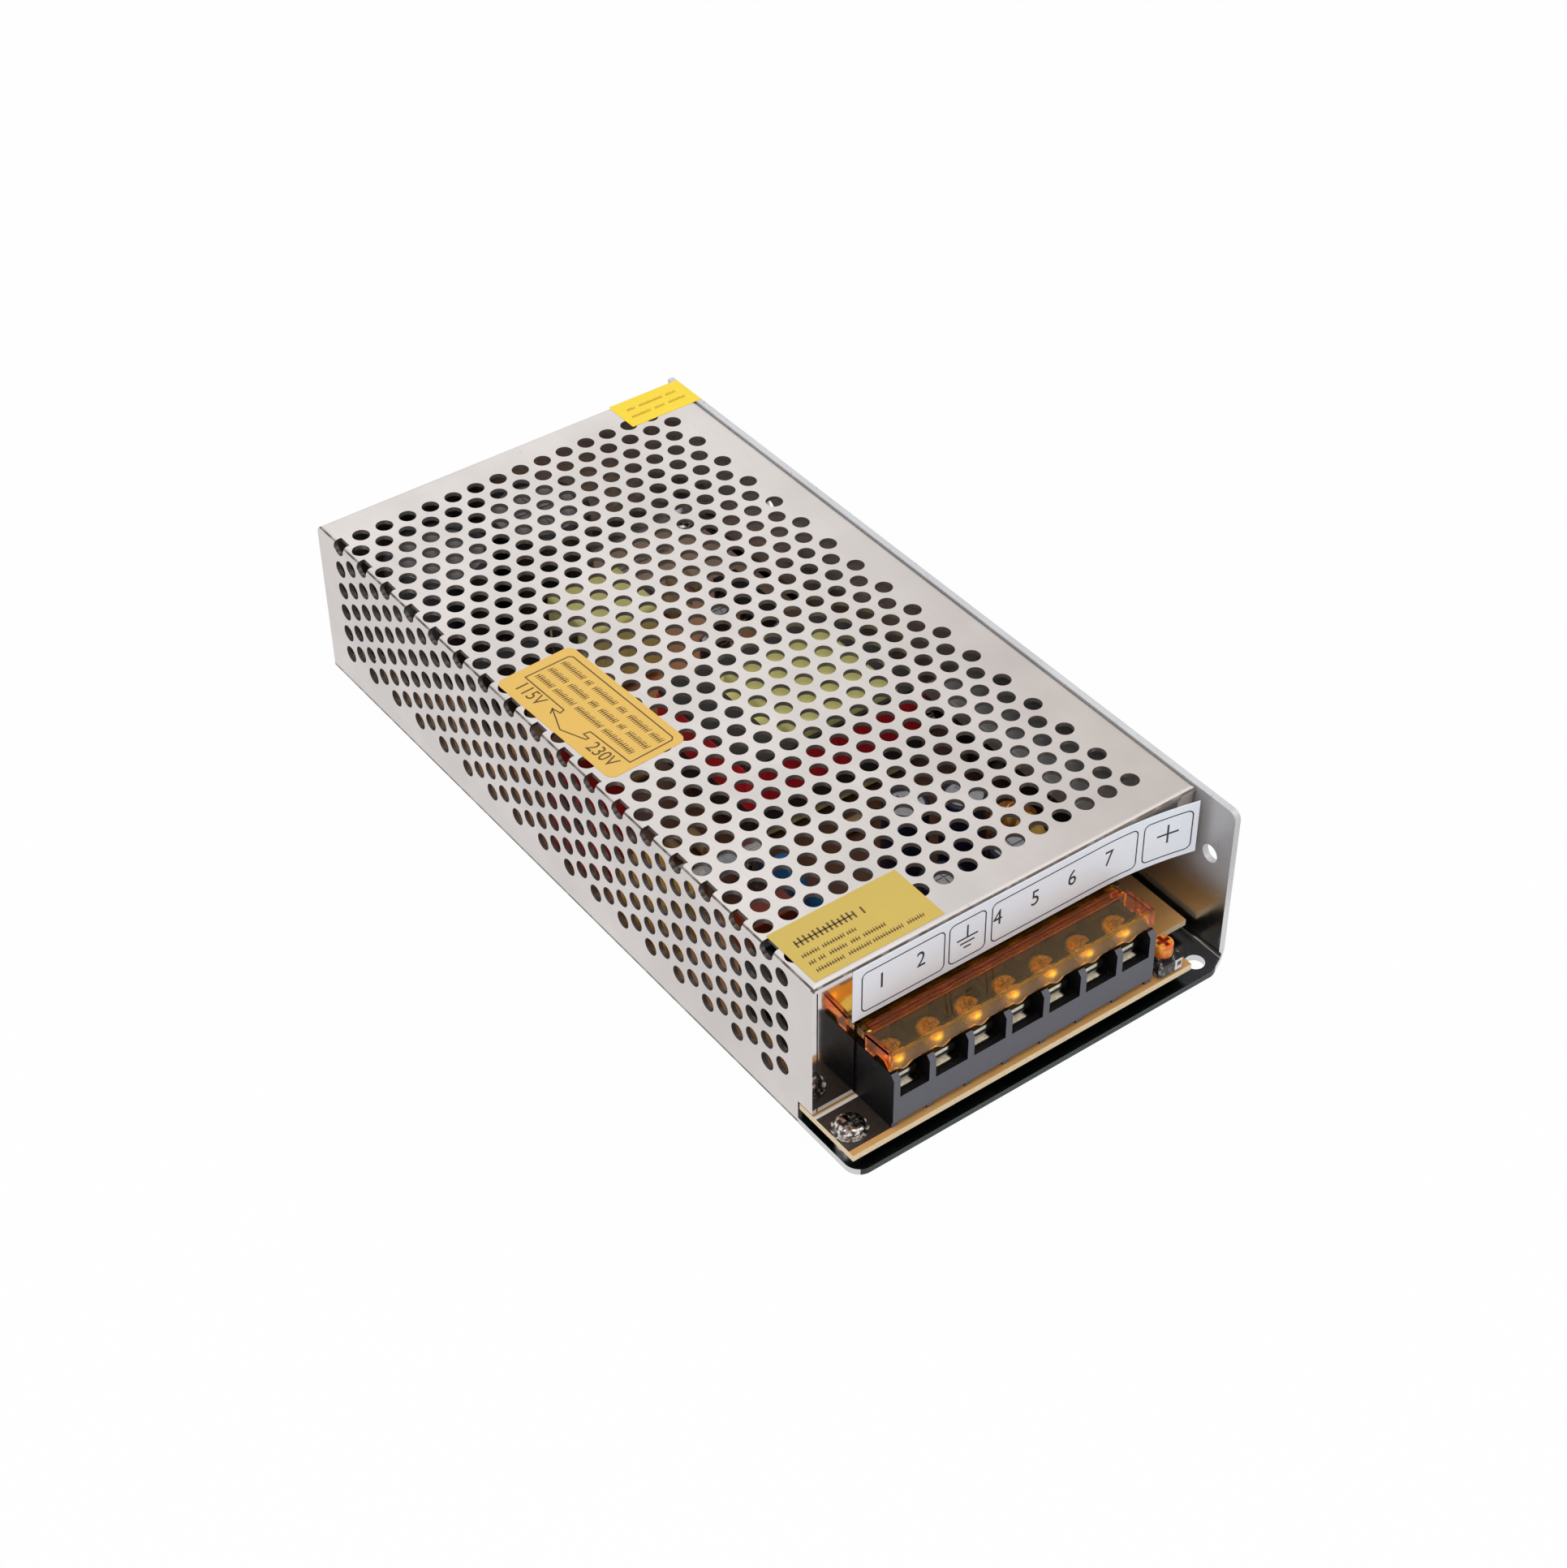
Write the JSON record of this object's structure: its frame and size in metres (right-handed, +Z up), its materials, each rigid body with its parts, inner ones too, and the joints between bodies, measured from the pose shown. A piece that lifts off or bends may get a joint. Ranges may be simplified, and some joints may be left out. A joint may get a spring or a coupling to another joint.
{
  "type": "enclosed power supply",
  "caption": "Flat enclosed switching power supply: perforated sheet cover on an open-ended chassis, screw terminals under a hinged clear guard at one end.",
  "frame": {"origin": "centre of the overall box's underside, on the surface that the chassis rests on", "axes": "+Y along the length, away from the terminals; +Z up; +X towards the chassis's upright wall"},
  "size_m": [0.098, 0.199, 0.04],
  "materials": {
    "sheet_chassis": "mill finish sheet",
    "sheet_cover": "satin punched sheet",
    "board": "phenolic board",
    "plated": "plated steel",
    "black_plastic": "moulded",
    "tinned": "tinned strip",
    "orange_clear": "transparent amber",
    "paper": "printed paper",
    "orange_paper": "printed paper",
    "yellow_paper": "printed paper",
    "grey_plastic": "moulded",
    "orange_plastic": "moulded",
    "red_plastic": "moulded",
    "ferrite": "ferrite",
    "yellow_tape": "polyester tape",
    "red_tape": "polyester tape",
    "dark_sleeve": "shrink sleeve",
    "gold_plastic": "moulded",
    "brown_dip": "dipped resin",
    "blue_dip": "dipped resin",
    "yellow_core": "powder core",
    "copper": "enamelled wire",
    "glass_tube": "glass"
  },
  "bodies": {
    "case": {"chassis": "sheet_chassis", "cover": "sheet_cover", "circuit_board": "board", "board_standoffs": "plated", "board_screws": "plated", "cover_screws": "plated", "terminal_block": "black_plastic", "terminal_contacts": "tinned", "terminal_clamps": "tinned", "terminal_screws": "plated", "terminal_cover_rear": "orange_clear", "terminal_label": "paper", "voltage_label": "orange_paper", "front_label": "yellow_paper", "corner_seal": "yellow_paper", "trimmer_base": "grey_plastic", "selector_body": "red_plastic", "transformer_core": "ferrite", "transformer_winding": "yellow_tape", "transformer_belt": "red_tape", "driver_core": "ferrite", "driver_winding": "yellow_tape", "bulk_capacitors": "dark_sleeve", "output_capacitors": "dark_sleeve", "small_capacitors": "dark_sleeve", "x_capacitor": "gold_plastic", "film_capacitor": "brown_dip", "disc_capacitors": "blue_dip", "output_choke_core": "yellow_core", "output_choke_winding": "copper", "line_choke": "copper", "fuse": "glass_tube", "fuse_clips": "plated", "bridge_rectifier": "black_plastic", "thermistor": "black_plastic", "heat_spreader": "sheet_chassis", "power_parts": "black_plastic", "control_chips": "black_plastic", "resistors": "brown_dip", "jumper_wires": "tinned"},
    "flap": {"terminal_cover": "orange_clear"},
    "trimmer": {"trimmer_rotor": "orange_plastic"},
    "selector": {"selector_slider": "black_plastic"}
  },
  "joints": [
    {"name": "guard_hinge", "type": "hinge", "parent": "case", "child": "flap", "pos_m": [0, -0.087, 0.0236], "axis": [-1, 0, 0], "range_deg": [0, 80]},
    {"name": "trimmer_turn", "type": "hinge", "parent": "case", "child": "trimmer", "pos_m": [0.0326, -0.095, 0], "axis": [0, 0, 1], "range_deg": [-130, 130]},
    {"name": "selector_slide", "type": "slide", "parent": "case", "child": "selector", "axis": [0, 1, 0], "range_m": [0, 0.0048]}
  ]
}
